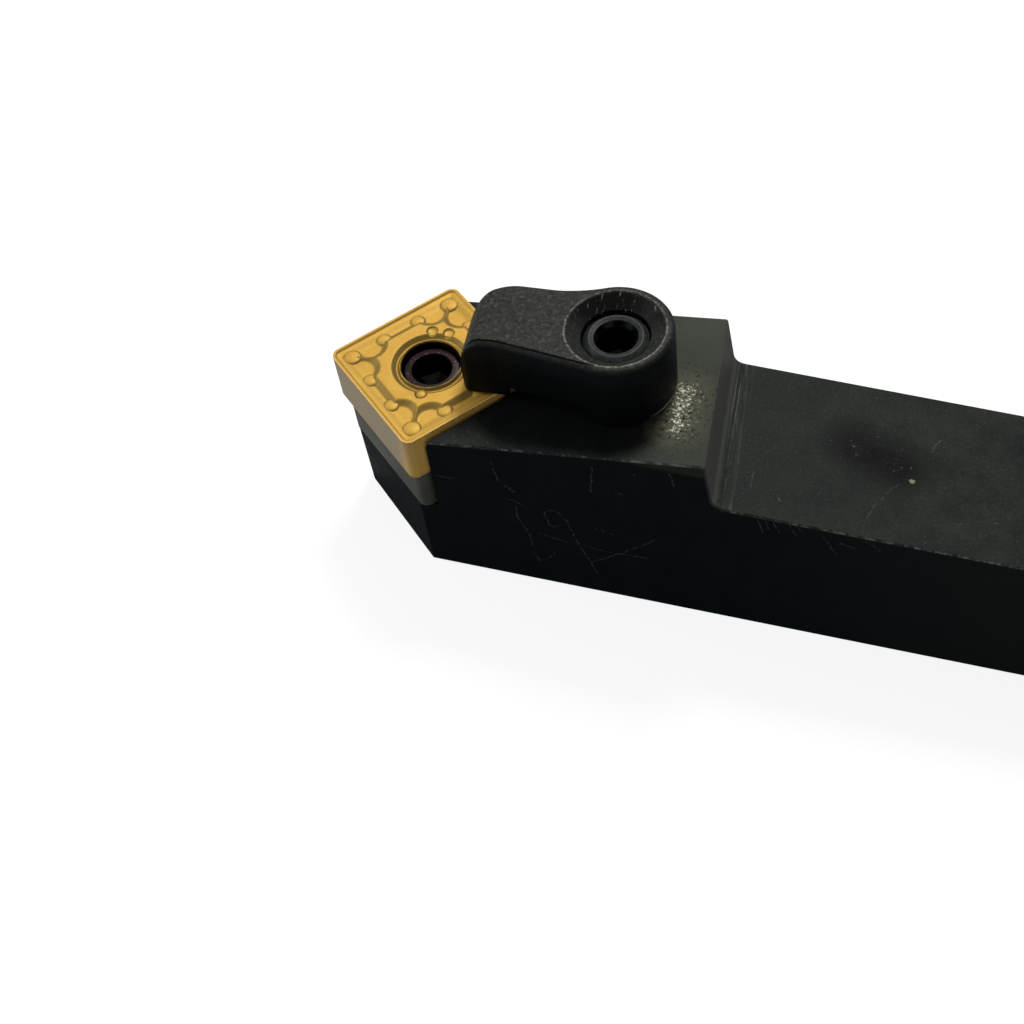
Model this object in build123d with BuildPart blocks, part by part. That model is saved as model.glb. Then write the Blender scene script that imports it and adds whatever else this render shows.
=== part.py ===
from build123d import *
import os
from math import acos, atan, atan2, cos, degrees, radians, sin, sqrt, tan

os.makedirs("parts", exist_ok=True)

# Turning tool holder with a square insert set on a corner. Millimetres.
# X runs from the cutting corner to the rear end of the shank, Y across, Z up.
# The origin is on the bottom face, half way along the tool.

# Shank and head
overall_length = 100.0
shank_height = 16.0
shank_width = 16.0
tip_rise = 0.4            # sharp cutting corner above the top of the shank
head_angle = 9.79         # slope of the head's top
head_drop = 0.9           # head's top below the cutting corner, at that corner
head_margin = 3.17        # head's top behind the clamp's boss
step_angle = 16.5         # lean of the wall behind the head
foot_radius = 1.25
edge_break = 0.15
far_corner_radius = 1.0
near_corner_radius = 0.5
nose_radius = 1.0
front_relief = 0.5        # front faces lean back from the insert's flanks

# Insert
insert_size = 12.7
insert_thickness = 4.76
insert_corner = 0.8
insert_bore = 5.16
rake = 6.0                # both cutting edges fall towards the corner
land = 0.3
groove_depth = 0.28
plateau_core = 7.5
plateau_tab_width = 1.6
plateau_tab_length = 9.7
plateau_arm_width = 1.7
plateau_arm_length = 12.0
bore_chamfer = 0.55

# Shim
shim_inset = 0.6          # shim smaller across than the insert
shim_thickness = 4.76
shim_shift = 0.2          # towards the rear of the pocket
shim_bore = 5.8
shim_seat_bore = 6.9
shim_seat_depth = 1.4
shim_chamfer = 0.3

# Pocket
wall_relief = 0.3
wall_relief_depth = 1.5
wedge_break = 0.3
pocket_corner_radius = 1.2

# Pin through the insert
pin_thread = 5.0
pin_clearance = 0.18
pin_drop = 0.8            # head of the pin below the top of the insert
pin_collar_gap = 0.35
pin_collar_height = 1.2
pin_end_gap = 0.9         # end of the pin above the bottom face, along the pin
pin_chamfer = 0.3
pin_socket = 3.0
pin_socket_depth = 2.4
thread_clearance = 0.05

# Clamp
clamp_height = 6.65
boss_radius = 4.75
clamp_reach = 12.7        # from the screw's axis to the front edge
toe_overlap = 5.39        # front edge ahead of the insert's rear corner
nose_length = 2.1         # front of the finger rounds down like a quarter ellipse
nose_drop = 4.25
toe_length = 3.9
finger_near = 2.8
finger_near_length = 3.3
finger_near_radius = 4.0
finger_far = 4.1
finger_waist = 3.9
waist_radius = 13.0
toe_near_radius = 0.85
toe_far_radius = 4.2
clamp_edge = 0.5
toe_edge = 0.3
heel_overlap = 1.5        # heel pad ahead of the screw's axis
relief_height = 1.6
recess_radius = 4.05
recess_depth = 0.95
seat_gap = 0.02

# Double-ended screw
screw_thread = 5.58
screw_length = 17.0
screw_chamfer = 0.4
screw_socket = 3.0
screw_socket_depth = 3.5
screw_hole_gap = 1.7
drill_point = 118.0

# Frames shared by the parts
tilt = degrees(atan(sqrt(2) * tan(radians(rake))))
half_diagonal = insert_size / sqrt(2)
tip_x = -overall_length / 2 - insert_corner * (sqrt(2) - 1) * cos(radians(tilt))
tip_z = shank_height + tip_rise
along = Vector(cos(radians(tilt)), 0, sin(radians(tilt)))
upward = Vector(-sin(radians(tilt)), 0, cos(radians(tilt)))
insert_centre = Vector(tip_x, 0, tip_z) + along * half_diagonal
insert_top = Plane(origin=insert_centre, x_dir=along, z_dir=upward)
insert_square = Plane(origin=insert_centre, x_dir=along + Vector(0, 1, 0), z_dir=upward)
stack = insert_thickness + shim_thickness
shim_size = insert_size - shim_inset
pocket_floor = insert_square.offset(-stack)

slope = tan(radians(head_angle))
rear_corner_x = tip_x + 2 * half_diagonal * cos(radians(tilt))
screw_x = rear_corner_x - toe_overlap + clamp_reach * cos(radians(head_angle))


def head_z(x):
    """Height of the head's sloping top above the bottom face at x."""
    return tip_z - head_drop + slope * (x - tip_x)


head_axis = Vector(-sin(radians(head_angle)), 0, cos(radians(head_angle)))
head_top = Plane(
    origin=(screw_x, 0, head_z(screw_x)),
    x_dir=(cos(radians(head_angle)), 0, sin(radians(head_angle))),
    z_dir=head_axis,
)
clamp_axis = Axis(head_top.origin, head_axis)
screw_section = Plane(origin=head_top.origin, x_dir=head_top.x_dir, z_dir=-head_top.y_dir)
pin_axis = Axis(insert_top.origin, upward)
pin_section = Plane(origin=insert_top.origin, x_dir=along, z_dir=-insert_top.y_dir)

rear_x = overall_length / 2
step_x = screw_x + boss_radius * cos(radians(head_angle)) + head_margin
step_z = head_z(step_x)
foot_x = step_x + (step_z - shank_height) * tan(radians(step_angle))
front_x = tip_x - 2
screw_hole_radius = screw_thread / 2 + thread_clearance
screw_top = clamp_height - recess_depth
screw_hole_depth = screw_length - screw_top + screw_hole_gap
step_direction = Vector(-sin(radians(step_angle)), 0, cos(radians(step_angle)))
front_lean = radians(front_relief)

# Shank and head
with BuildPart() as holder_body:
    with BuildSketch(Plane.XZ) as side_view:
        with BuildLine():
            Polyline(
                (front_x, 0),
                (rear_x, 0),
                (rear_x, shank_height),
                (foot_x, shank_height),
                (step_x, step_z),
                (front_x, head_z(front_x)),
                close=True,
            )
        make_face()
        foot = side_view.vertices().sort_by_distance((foot_x, shank_height))[0]
        fillet(foot, foot_radius)
    extrude(amount=shank_width / 2, both=True)
    outline = holder_body.edges().filter_by(Axis.Y, reverse=True)
    across = holder_body.edges().filter_by(Axis.Y)
    rear_edges = across.sort_by(Axis.X)[-2:]
    step_edge = across.sort_by(Axis.Z)[-1:]
    chamfer(outline + rear_edges + step_edge, edge_break)

    # Upright corners behind the head, rounder towards the top
    for side, radius in ((1, far_corner_radius), (-1, near_corner_radius)):
        corner_foot = Vector(foot_x, side * shank_width / 2, shank_height) + step_direction * foot_radius
        corner_top = Vector(step_x, side * shank_width / 2, step_z) + step_direction
        for base, size in ((corner_foot, edge_break), (corner_top, radius)):
            with BuildSketch(Plane(origin=base, x_dir=(0, side, 0), z_dir=step_direction)):
                Rectangle(2 * size, 2 * size)
                with Locations((-size, -side * size)):
                    Circle(size, mode=Mode.SUBTRACT)
                    Rectangle(2 * size, 4 * size, mode=Mode.SUBTRACT)
                    Rectangle(4 * size, 2 * size, mode=Mode.SUBTRACT)
        loft(mode=Mode.SUBTRACT)

    # Pocket for the insert and the shim, open to the front
    with BuildSketch(pocket_floor):
        with Locations((insert_size / 2, -insert_size / 2)):
            Rectangle(3 * insert_size, 3 * insert_size, align=(Align.MAX, Align.MIN))
    extrude(amount=3 * stack, mode=Mode.SUBTRACT)
    with BuildSketch(insert_square.offset(-wall_relief_depth)):
        with Locations((insert_size / 2 + wall_relief, -insert_size / 2 - wall_relief)):
            Rectangle(3 * insert_size, 3 * insert_size, align=(Align.MAX, Align.MIN))
    extrude(amount=2 * stack, mode=Mode.SUBTRACT)
    with BuildSketch(pocket_floor):
        with Locations((insert_size / 2 - insert_corner / 2, -insert_size / 2 + insert_corner / 2)):
            Circle(pocket_corner_radius)
    extrude(amount=3 * stack, mode=Mode.SUBTRACT)

    # Sharp edges where the pocket's walls meet the sides
    wedges = holder_body.edges().filter_by(pin_axis).group_by(Axis.Y)
    for group in (wedges[0], wedges[-1]):
        chamfer(group.sort_by(SortBy.LENGTH)[-1], wedge_break)

    # Front faces, through the lower front edges of the shim
    shim_centre = pocket_floor.origin + along * shim_shift
    for side in (1, -1):
        facing = (along * -1 + Vector(0, side, 0)) * (1 / sqrt(2))
        normal = facing * cos(front_lean) - upward * sin(front_lean)
        edge_middle = shim_centre + facing * (shim_size / 2)
        with BuildSketch(Plane(origin=edge_middle, x_dir=upward.cross(facing), z_dir=normal)):
            Rectangle(6 * shank_height, 6 * shank_height)
        extrude(amount=2 * insert_size, mode=Mode.SUBTRACT)
    fillet(holder_body.edges().sort_by(Axis.X)[0], nose_radius)

    # Threaded hole for the pin, through to the bottom face
    with BuildSketch(pocket_floor):
        Circle(pin_thread / 2)
    extrude(amount=-2 * shank_height, mode=Mode.SUBTRACT)

    # Threaded hole for the screw, with a drill point
    with BuildSketch(screw_section):
        with BuildLine():
            Polyline(
                (0, 1),
                (screw_hole_radius, 1),
                (screw_hole_radius, -screw_hole_depth),
                (0, -screw_hole_depth - screw_hole_radius / tan(radians(drill_point / 2))),
                close=True,
            )
        make_face()
    revolve(axis=clamp_axis, mode=Mode.SUBTRACT)
holder_body.part.label = "holder_body"
export_step(holder_body.part, "parts/holder_body.step")

# Shim under the insert
with BuildPart() as shim:
    with BuildSketch(insert_top.offset(-insert_thickness)):
        with Locations((shim_shift, 0)):
            with Locations(Rotation(0, 0, 45)):
                RectangleRounded(shim_size, shim_size, insert_corner)
            Circle(shim_bore / 2, mode=Mode.SUBTRACT)
    extrude(amount=-shim_thickness)
    chamfer(shim.faces().sort_by(pin_axis)[0].outer_wire().edges(), shim_chamfer)
    with BuildSketch(insert_top.offset(-insert_thickness)):
        with Locations((shim_shift, 0)):
            Circle(shim_seat_bore / 2)
    extrude(amount=-shim_seat_depth, mode=Mode.SUBTRACT)
shim.part.label = "shim"
export_step(shim.part, "parts/shim.step")

# Pin through the insert and the shim
pin_head_radius = insert_bore / 2 - pin_clearance
collar_radius = shim_seat_bore / 2 - pin_collar_gap
collar_base = insert_thickness + shim_seat_depth
pin_radius = pin_thread / 2 - thread_clearance
pin_end = stack + pocket_floor.origin.Z / cos(radians(tilt)) - pin_end_gap
with BuildPart() as lock_pin:
    with BuildSketch(pin_section):
        with BuildLine():
            Polyline(
                (0, -pin_drop),
                (pin_head_radius - pin_chamfer, -pin_drop),
                (pin_head_radius, -pin_drop - pin_chamfer),
                (pin_head_radius, -collar_base + pin_collar_height),
                (collar_radius, -collar_base + pin_collar_height),
                (collar_radius, -collar_base),
                (pin_radius, -collar_base),
                (pin_radius, -pin_end + pin_chamfer),
                (pin_radius - pin_chamfer, -pin_end),
                (0, -pin_end),
                close=True,
            )
        make_face()
    revolve(axis=pin_axis)
    with BuildSketch(insert_top.offset(-pin_drop)):
        RegularPolygon(pin_socket / 2, 6, major_radius=False)
    extrude(amount=-pin_socket_depth, mode=Mode.SUBTRACT)
lock_pin.part.label = "lock_pin"
export_step(lock_pin.part, "parts/lock_pin.step")

# Square insert with the same chip groove on both faces
with BuildPart() as insert:
    with BuildSketch(insert_square):
        RectangleRounded(insert_size, insert_size, insert_corner)
        Circle(insert_bore / 2, mode=Mode.SUBTRACT)
    extrude(amount=-insert_thickness)
    for face, depth in ((insert_square, -groove_depth), (insert_square.offset(-insert_thickness), groove_depth)):
        with BuildSketch(face):
            RectangleRounded(insert_size - 2 * land, insert_size - 2 * land, insert_corner - land / 2)
            Rectangle(plateau_core, plateau_core, mode=Mode.SUBTRACT)
            Rectangle(plateau_tab_width, plateau_tab_length, mode=Mode.SUBTRACT)
            Rectangle(plateau_tab_length, plateau_tab_width, mode=Mode.SUBTRACT)
            Rectangle(plateau_arm_length, plateau_arm_width, rotation=45, mode=Mode.SUBTRACT)
            Rectangle(plateau_arm_length, plateau_arm_width, rotation=-45, mode=Mode.SUBTRACT)
        extrude(amount=depth, mode=Mode.SUBTRACT)
    bore_edges = insert.edges().filter_by(GeomType.CIRCLE)
    bore_edges = bore_edges.filter_by(lambda edge: abs(edge.radius - insert_bore / 2) < 1e-6)
    chamfer(bore_edges, bore_chamfer)
insert.part.label = "insert"
export_step(insert.part, "parts/insert.step")

# Finger clamp: a round boss on the head and a toe on the insert
near_start = -clamp_reach + finger_near_length
near_turn = degrees(atan2(-finger_near, near_start)) + degrees(
    acos(boss_radius / sqrt(near_start**2 + finger_near**2))
)
near_tangent = (boss_radius * cos(radians(near_turn)), boss_radius * sin(radians(near_turn)))
waist_y = finger_waist + waist_radius
waist_x = -sqrt((boss_radius + waist_radius) ** 2 - waist_y**2)
far_turn = degrees(atan2(waist_y, waist_x))
relief_middle = (clamp_reach + toe_length - heel_overlap) / 2
with BuildPart() as clamp:
    with BuildSketch(head_top.offset(seat_gap)) as clamp_plan:
        with BuildLine():
            CenterArc((0, 0), boss_radius, near_turn, far_turn - near_turn)
            CenterArc((waist_x, waist_y), waist_radius, far_turn - 180, 90 - far_turn)
            Polyline(
                (waist_x, finger_waist),
                (-clamp_reach, finger_far),
                (-clamp_reach, -finger_near),
                (near_start, -finger_near),
                near_tangent,
            )
        make_face()
        toe_corners = clamp_plan.vertices().group_by(Axis.X)[0].sort_by(Axis.Y)
        fillet(toe_corners[0], toe_near_radius)
        fillet(clamp_plan.vertices().sort_by_distance((near_start, -finger_near))[0], finger_near_radius)
        fillet(clamp_plan.vertices().sort_by_distance((-clamp_reach, finger_far))[0], toe_far_radius)
    extrude(amount=clamp_height - seat_gap)
    fillet(clamp.faces().sort_by(clamp_axis)[-1].edges(), clamp_edge)

    # Front of the finger, rounded down to the toe
    with BuildSketch(screw_section):
        with BuildLine():
            EllipticalCenterArc(
                (nose_length - clamp_reach, clamp_height - nose_drop),
                nose_length,
                nose_drop,
                start_angle=90,
                arc_size=90,
            )
            Polyline(
                (-clamp_reach, clamp_height - nose_drop),
                (-clamp_reach, clamp_height),
                (nose_length - clamp_reach, clamp_height),
            )
        make_face()
    extrude(amount=2 * boss_radius, both=True, mode=Mode.SUBTRACT)

    # Underside: clear between the heel on the head and the toe on the insert
    with BuildSketch(head_top):
        with Locations((-heel_overlap, 0)):
            Rectangle(
                clamp_reach - toe_length - heel_overlap, 4 * boss_radius, align=(Align.MAX, Align.CENTER)
            )
    extrude(amount=relief_height, mode=Mode.SUBTRACT)
    with BuildSketch(insert_top.offset(seat_gap)):
        with Locations((half_diagonal - toe_overlap + relief_middle, 0)):
            Rectangle(2 * clamp_reach, 4 * boss_radius, align=(Align.MAX, Align.CENTER))
    extrude(amount=-clamp_height, mode=Mode.SUBTRACT)
    toe_pad = clamp.faces().filter_by(pin_axis)[0]
    fillet(toe_pad.edges().sort_by(Axis.X)[:-1], toe_edge)

    # Bore and dished recess for the screw
    with BuildSketch(screw_section):
        with BuildLine():
            Polyline(
                (0, clamp_height),
                (recess_radius, clamp_height),
                (screw_hole_radius, clamp_height - recess_depth),
                (screw_hole_radius, -1),
                (0, -1),
                close=True,
            )
        make_face()
    revolve(axis=clamp_axis, mode=Mode.SUBTRACT)
clamp.part.label = "clamp"
export_step(clamp.part, "parts/clamp.step")

# Double-ended screw with a socket at each end
screw_radius = screw_thread / 2
with BuildPart() as clamp_screw:
    with BuildSketch(screw_section):
        with BuildLine():
            Polyline(
                (0, screw_top),
                (screw_radius - screw_chamfer, screw_top),
                (screw_radius, screw_top - screw_chamfer),
                (screw_radius, screw_top - screw_length + screw_chamfer),
                (screw_radius - screw_chamfer, screw_top - screw_length),
                (0, screw_top - screw_length),
                close=True,
            )
        make_face()
    revolve(axis=clamp_axis)
    with BuildSketch(head_top.offset(screw_top)):
        RegularPolygon(screw_socket / 2, 6, major_radius=False)
    extrude(amount=-screw_socket_depth, mode=Mode.SUBTRACT)
    with BuildSketch(head_top.offset(screw_top - screw_length)):
        RegularPolygon(screw_socket / 2, 6, major_radius=False)
    extrude(amount=screw_socket_depth, mode=Mode.SUBTRACT)
clamp_screw.part.label = "clamp_screw"
export_step(clamp_screw.part, "parts/clamp_screw.step")
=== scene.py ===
import bmesh
import bpy
import numpy as np
from mathutils import Matrix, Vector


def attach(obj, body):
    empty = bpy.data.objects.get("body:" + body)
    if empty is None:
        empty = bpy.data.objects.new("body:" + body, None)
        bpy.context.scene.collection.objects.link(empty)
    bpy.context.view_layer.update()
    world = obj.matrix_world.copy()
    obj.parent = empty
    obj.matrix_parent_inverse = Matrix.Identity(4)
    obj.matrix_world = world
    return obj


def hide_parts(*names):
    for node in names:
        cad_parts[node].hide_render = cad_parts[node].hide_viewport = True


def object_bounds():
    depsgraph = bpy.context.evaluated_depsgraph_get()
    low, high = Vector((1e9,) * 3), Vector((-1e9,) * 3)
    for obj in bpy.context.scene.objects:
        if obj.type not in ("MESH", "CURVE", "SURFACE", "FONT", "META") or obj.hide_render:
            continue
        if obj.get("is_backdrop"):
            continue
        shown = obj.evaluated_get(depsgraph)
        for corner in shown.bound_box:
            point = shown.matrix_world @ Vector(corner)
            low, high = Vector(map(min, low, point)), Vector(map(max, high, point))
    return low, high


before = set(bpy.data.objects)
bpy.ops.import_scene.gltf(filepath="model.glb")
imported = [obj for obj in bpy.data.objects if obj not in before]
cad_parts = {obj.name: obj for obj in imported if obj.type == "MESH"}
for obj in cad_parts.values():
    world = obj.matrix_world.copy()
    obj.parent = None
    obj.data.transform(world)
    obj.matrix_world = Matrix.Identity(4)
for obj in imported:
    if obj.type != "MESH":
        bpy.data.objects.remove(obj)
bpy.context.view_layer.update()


# Holder body
# Shank and head in one piece of alloy steel, milled and ground, then blackened in hot salts and
# oiled. The oxide is about a micron thick, so edges and scratches show the grey steel under it.
def linear(code):
    """Turns an sRGB colour, written as six hex digits, into linear red, green, blue and alpha."""
    value = np.array([int(code[i:i + 2], 16) for i in (0, 2, 4)]) / 255
    value = np.where(value <= 0.04045, value / 12.92, ((value + 0.055) / 1.055) ** 2.4)
    return (*value.tolist(), 1.0)


def add(tree, kind, inputs=None, **settings):
    """Adds a shader node, sets its properties, and gives each named input a value or a link."""
    made = tree.nodes.new("ShaderNode" + kind)
    for name, value in settings.items():
        setattr(made, name, value)
    for name, value in (inputs or {}).items():
        if isinstance(value, bpy.types.NodeSocket):
            tree.links.new(value, made.inputs[name])
        else:
            made.inputs[name].default_value = value
    return made


def new_material(name):
    """Returns a new material, its emptied node tree and the places on it in metres."""
    made = bpy.data.materials.new(name)
    made.use_nodes = True
    made.node_tree.nodes.clear()
    return made, made.node_tree, add(made.node_tree, "TexCoord").outputs["Object"]


def distance_to_lines(tree, place, lines):
    """Distance in millimetres from each point of the surface to the nearest of some straight lines.

    For a line from A to B the foot of the point P is A + t (B - A), where t is the dot product of
    P - A and B - A over the length squared, kept between 0 and 1."""
    nearest = None
    for start, end in lines:
        run = np.subtract(end, start)
        away = add(tree, "VectorMath", {0: place, 1: start}, operation="SUBTRACT").outputs["Vector"]
        share = add(tree, "VectorMath", {0: away, 1: run / (run @ run)},
                    operation="DOT_PRODUCT").outputs["Value"]
        share = add(tree, "Clamp", {"Value": share}).outputs[0]
        foot = add(tree, "VectorMath", {0: run, "Scale": share}, operation="SCALE").outputs["Vector"]
        gap = add(tree, "VectorMath", {0: away, 1: foot}, operation="DISTANCE").outputs["Value"]
        if nearest is not None:
            gap = add(tree, "Math", {0: nearest, 1: gap}, operation="MINIMUM").outputs[0]
        nearest = gap
    return nearest


# Places on the body in millimetres: x from the middle of the tool's length, z from its bottom.
TIP_X = -50.32777
HEAD_START = 15.5
HEAD_ANGLE = np.radians(9.79)
HEAD_BACK = -16.9
NEAR_SIDE = -8.0
FAR_SIDE = 8.0
SHANK_TOP = 16.0
REAR_END = 50.0


def on_head(x, y):
    """Point of the head's sloping top, x millimetres along the tool and y across it."""
    return x, y, HEAD_START + np.tan(HEAD_ANGLE) * (x - TIP_X)


worn_edges = [
    (on_head(-42.3, NEAR_SIDE), on_head(-17.1, NEAR_SIDE)),
    (on_head(HEAD_BACK, -7.9), on_head(HEAD_BACK, 7.6)),
    (on_head(HEAD_BACK, NEAR_SIDE), (-15.3, NEAR_SIDE, SHANK_TOP + 0.6)),
    ((-14.5, NEAR_SIDE, SHANK_TOP), (REAR_END, NEAR_SIDE, SHANK_TOP)),
    ((-14.5, FAR_SIDE, SHANK_TOP), (REAR_END, FAR_SIDE, SHANK_TOP)),
]

# Scratches as they run in the photograph, in millimetres behind the tip: on the near side each
# point is a distance and a height, on the shank's top a distance and a place across.
side_scratches = [
    ((15.8, 16.4), (16.2, 15), (16.5, 14)), ((17, 13.6), (18, 12.9)),
    ((17.1, 11.6), (18.2, 11.6), (19.2, 10.8)),
    ((18.3, 10.5), (18.5, 9.2), (19.7, 6.8), (20.3, 4.1), (20.8, 3.2), (21.5, 3.7), (22, 4.8)),
    ((22.3, 9.4), (21.7, 8.8), (21.2, 9), (20.7, 10.6), (20.9, 11.1), (21.5, 11.3), (22.1, 10.9), (22.8, 9.9),
     (24.2, 6.6), (26.1, 2.8)),
    ((20.4, 7.4), (22.6, 6.9), (26.7, 6.7), (30, 6.8)), ((25.5, 4.6), (27.7, 6.8), (30.4, 9.9)),
    ((25.2, 9.9), (26.8, 9.4)), ((27.3, 18.4), (27.9, 18.2)), ((26.4, 15.5), (26.9, 15.4)),
    ((24, 18.3), (24.3, 14.8)), ((11, 13), (12.7, 13.1)), ((30.2, 19.6), (30.8, 18)),
    ((37.9, 15.8), (38.8, 14)), ((38.6, 15.9), (39.2, 14.6)), ((39.2, 15.9), (40, 14.5)),
    ((40.5, 15.8), (41.4, 14.4)), ((41.3, 15.8), (42.1, 14.5)), ((43.6, 14.9), (45.2, 12.9)),
    ((46.9, 15.6), (48.5, 14.6)), ((44.9, 14.6), (46.3, 14.3)),
]
top_scratches = [
    ((46.7, -6), (47.4, -4.3), (48.5, -2.7), (49.7, -1.2)), ((37.1, -3.4), (37.1, -5.3)),
    ((39.4, -5.6), (39.6, -6)), ((51.7, 2.2), (52.4, 3.7)), ((54.1, -4.9), (54.4, -4.8)),
    ((51.5, -7.3), (51.8, -7.2)), ((57, -4), (57.3, -3.9)),
]
paths = [[(a + TIP_X, NEAR_SIDE, b) for a, b in path] for path in side_scratches]
paths += [[(a + TIP_X, b, SHANK_TOP) for a, b in path] for path in top_scratches]
scratches = [pair for path in paths for pair in zip(path, path[1:])]

# Black oxide on steel: near black, a little blue where it is smooth and brown-grey where the
# oil has dried, satin, with a fine speckle of grey about 0.2 mm across.
black_oxide, tree, metres = new_material("black_oxide_on_steel")
place = add(tree, "VectorMath", {0: metres, "Scale": 1000.0}, operation="SCALE").outputs["Vector"]
cloud = add(tree, "TexNoise", {"Vector": place, "Scale": 0.3, "Detail": 7.0, "Roughness": 0.72}).outputs[0]
grain = add(tree, "TexNoise", {"Vector": place, "Scale": 4.0, "Detail": 3.0, "Roughness": 0.7}).outputs[0]
wobble = add(tree, "TexNoise", {"Vector": place, "Scale": 1.2, "Detail": 3.0})
wobble = add(tree, "VectorMath", {0: wobble.outputs["Color"], 1: (0.5, 0.5, 0.5)}, operation="SUBTRACT")
wobble = add(tree, "VectorMath", {0: wobble.outputs["Vector"], "Scale": 0.5}, operation="SCALE")
shaken = add(tree, "VectorMath", {0: place, 1: wobble.outputs["Vector"]}, operation="ADD").outputs["Vector"]
tone = add(tree, "MapRange", {"Value": cloud, "From Min": 0.35, "From Max": 0.65}).outputs[0]
colour = add(tree, "Mix", {"Factor": tone, 6: linear("1A1D1C"), 7: linear("2A2C28")},
             data_type="RGBA").outputs[2]
for code, start, full, most in (("42443F", 0.56, 0.74, 0.7), ("121514", 0.42, 0.3, 0.6)):
    mark = add(tree, "MapRange",
               {"Value": grain, "From Min": start, "From Max": full, "To Max": most}).outputs[0]
    colour = add(tree, "Mix", {"Factor": mark, 6: colour, 7: linear(code)}, data_type="RGBA").outputs[2]

# The upright faces are painted blacker and bluer than the tops as shade, and on them a painted sheen grows
# lighter along the tool towards the rear end.
facing = add(tree, "SeparateXYZ", {0: add(tree, "TexCoord").outputs["Normal"]})
upright = add(tree, "MapRange", {"Value": facing.outputs["Z"], "From Min": 0.8, "From Max": 0.3}).outputs[0]
blued = add(tree, "Mix", {"Factor": tone, 6: linear("0A1213"), 7: linear("111717")},
            data_type="RGBA").outputs[2]
split = add(tree, "SeparateXYZ", {0: place})
sheen = add(tree, "MapRange",
            {"Value": split.outputs["X"], "From Min": -12.0, "From Max": 12.0, "To Max": 0.7}).outputs[0]
blued = add(tree, "Mix", {"Factor": sheen, 6: blued, 7: linear("1E2122")}, data_type="RGBA").outputs[2]
colour = add(tree, "Mix", {"Factor": upright, 6: colour, 7: blued}, data_type="RGBA").outputs[2]

# The head's top behind the clamp is brown-grey, where oil has dried on it.
dried = add(tree, "MapRange", {"Value": split.outputs["X"], "From Min": -26.0, "From Max": -21.0}).outputs[0]
raised = add(tree, "MapRange",
             {"Value": split.outputs["Z"], "From Min": 19.6, "From Max": 20.0, "To Max": 0.6}).outputs[0]
dried = add(tree, "Math", {0: dried, 1: raised}, operation="MULTIPLY").outputs[0]
beyond = add(tree, "MapRange",
             {"Value": split.outputs["Y"], "From Min": -7.0, "From Max": 0.0, "To Min": 0.6}).outputs[0]
dried = add(tree, "Math", {0: dried, 1: beyond}, operation="MULTIPLY").outputs[0]
colour = add(tree, "Mix", {"Factor": dried, 6: colour, 7: linear("45473F")}, data_type="RGBA").outputs[2]

# The edge rubs bare first: a line about 0.2 mm wide, broken into dashes 0.5 mm long.
gap = distance_to_lines(tree, place, worn_edges)
rub = add(tree, "MapRange", {"Value": gap, "From Min": 0.16, "From Max": 0.07}).outputs[0]
chips = add(tree, "TexNoise", {"Vector": place, "Scale": 1.7, "Detail": 4.0, "Roughness": 0.75}).outputs[0]
chips = add(tree, "MapRange", {"Value": chips, "From Min": 0.47, "From Max": 0.62, "To Max": 0.9}).outputs[0]
rub = add(tree, "Math", {0: rub, 1: chips}, operation="MULTIPLY").outputs[0]
colour = add(tree, "Mix", {"Factor": rub, 6: colour, 7: linear("7C7F7A")}, data_type="RGBA").outputs[2]

# The wall of the step behind the head is left out of the upright faces' painted shade and painted a lighter
# grey than the tops, as painted light.
rearward = add(tree, "MapRange",
               {"Value": facing.outputs["X"], "From Min": 0.2, "From Max": 0.8, "To Max": 0.85}).outputs[0]
stepped = add(tree, "MapRange", {"Value": split.outputs["Z"], "From Min": 16.0, "From Max": 16.4}).outputs[0]
stepped = add(tree, "Math", {0: stepped, 1: rearward}, operation="MULTIPLY").outputs[0]
colour = add(tree, "Mix", {"Factor": stepped, 6: colour, 7: linear("4C4D49")}, data_type="RGBA").outputs[2]

# The cutter left fine lines along the foot of that wall, a few to the millimetre, painted bright as
# highlights.
drawn = add(tree, "VectorMath", {0: place, 1: (5.5, 0.08, 2.5)}, operation="MULTIPLY").outputs["Vector"]
milled = add(tree, "TexNoise", {"Vector": drawn, "Scale": 1.0, "Detail": 4.0, "Roughness": 0.8}).outputs[0]
milled = add(tree, "MapRange", {"Value": milled, "From Min": 0.52, "From Max": 0.7, "To Max": 0.8}).outputs[0]
foot = add(tree, "Math", {0: split.outputs["X"], 1: 15.2}, operation="ADD").outputs[0]
foot = add(tree, "Math", {0: foot}, operation="ABSOLUTE").outputs[0]
foot = add(tree, "MapRange", {"Value": foot, "From Min": 1.0, "From Max": 0.3}).outputs[0]
over = add(tree, "MapRange", {"Value": split.outputs["Z"], "From Min": 15.7, "From Max": 15.9}).outputs[0]
foot = add(tree, "Math", {0: foot, 1: over}, operation="MULTIPLY").outputs[0]
milled = add(tree, "Math", {0: milled, 1: foot}, operation="MULTIPLY").outputs[0]
colour = add(tree, "Mix", {"Factor": milled, 6: colour, 7: linear("777A73")}, data_type="RGBA").outputs[2]

# Scratches are 0.05 to 0.1 mm wide, the least that shows at the photograph's scale.
gap = distance_to_lines(tree, shaken, scratches)
scored = add(tree, "MapRange", {"Value": gap, "From Min": 0.075, "From Max": 0.02, "To Max": 0.7}).outputs[0]
broken = add(tree, "MapRange", {"Value": grain, "From Min": 0.4, "From Max": 0.56, "To Min": 0.2}).outputs[0]
scored = add(tree, "Math", {0: scored, 1: broken}, operation="MULTIPLY").outputs[0]
colour = add(tree, "Mix", {"Factor": scored, 6: colour, 7: linear("565E5E")}, data_type="RGBA").outputs[2]
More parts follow.
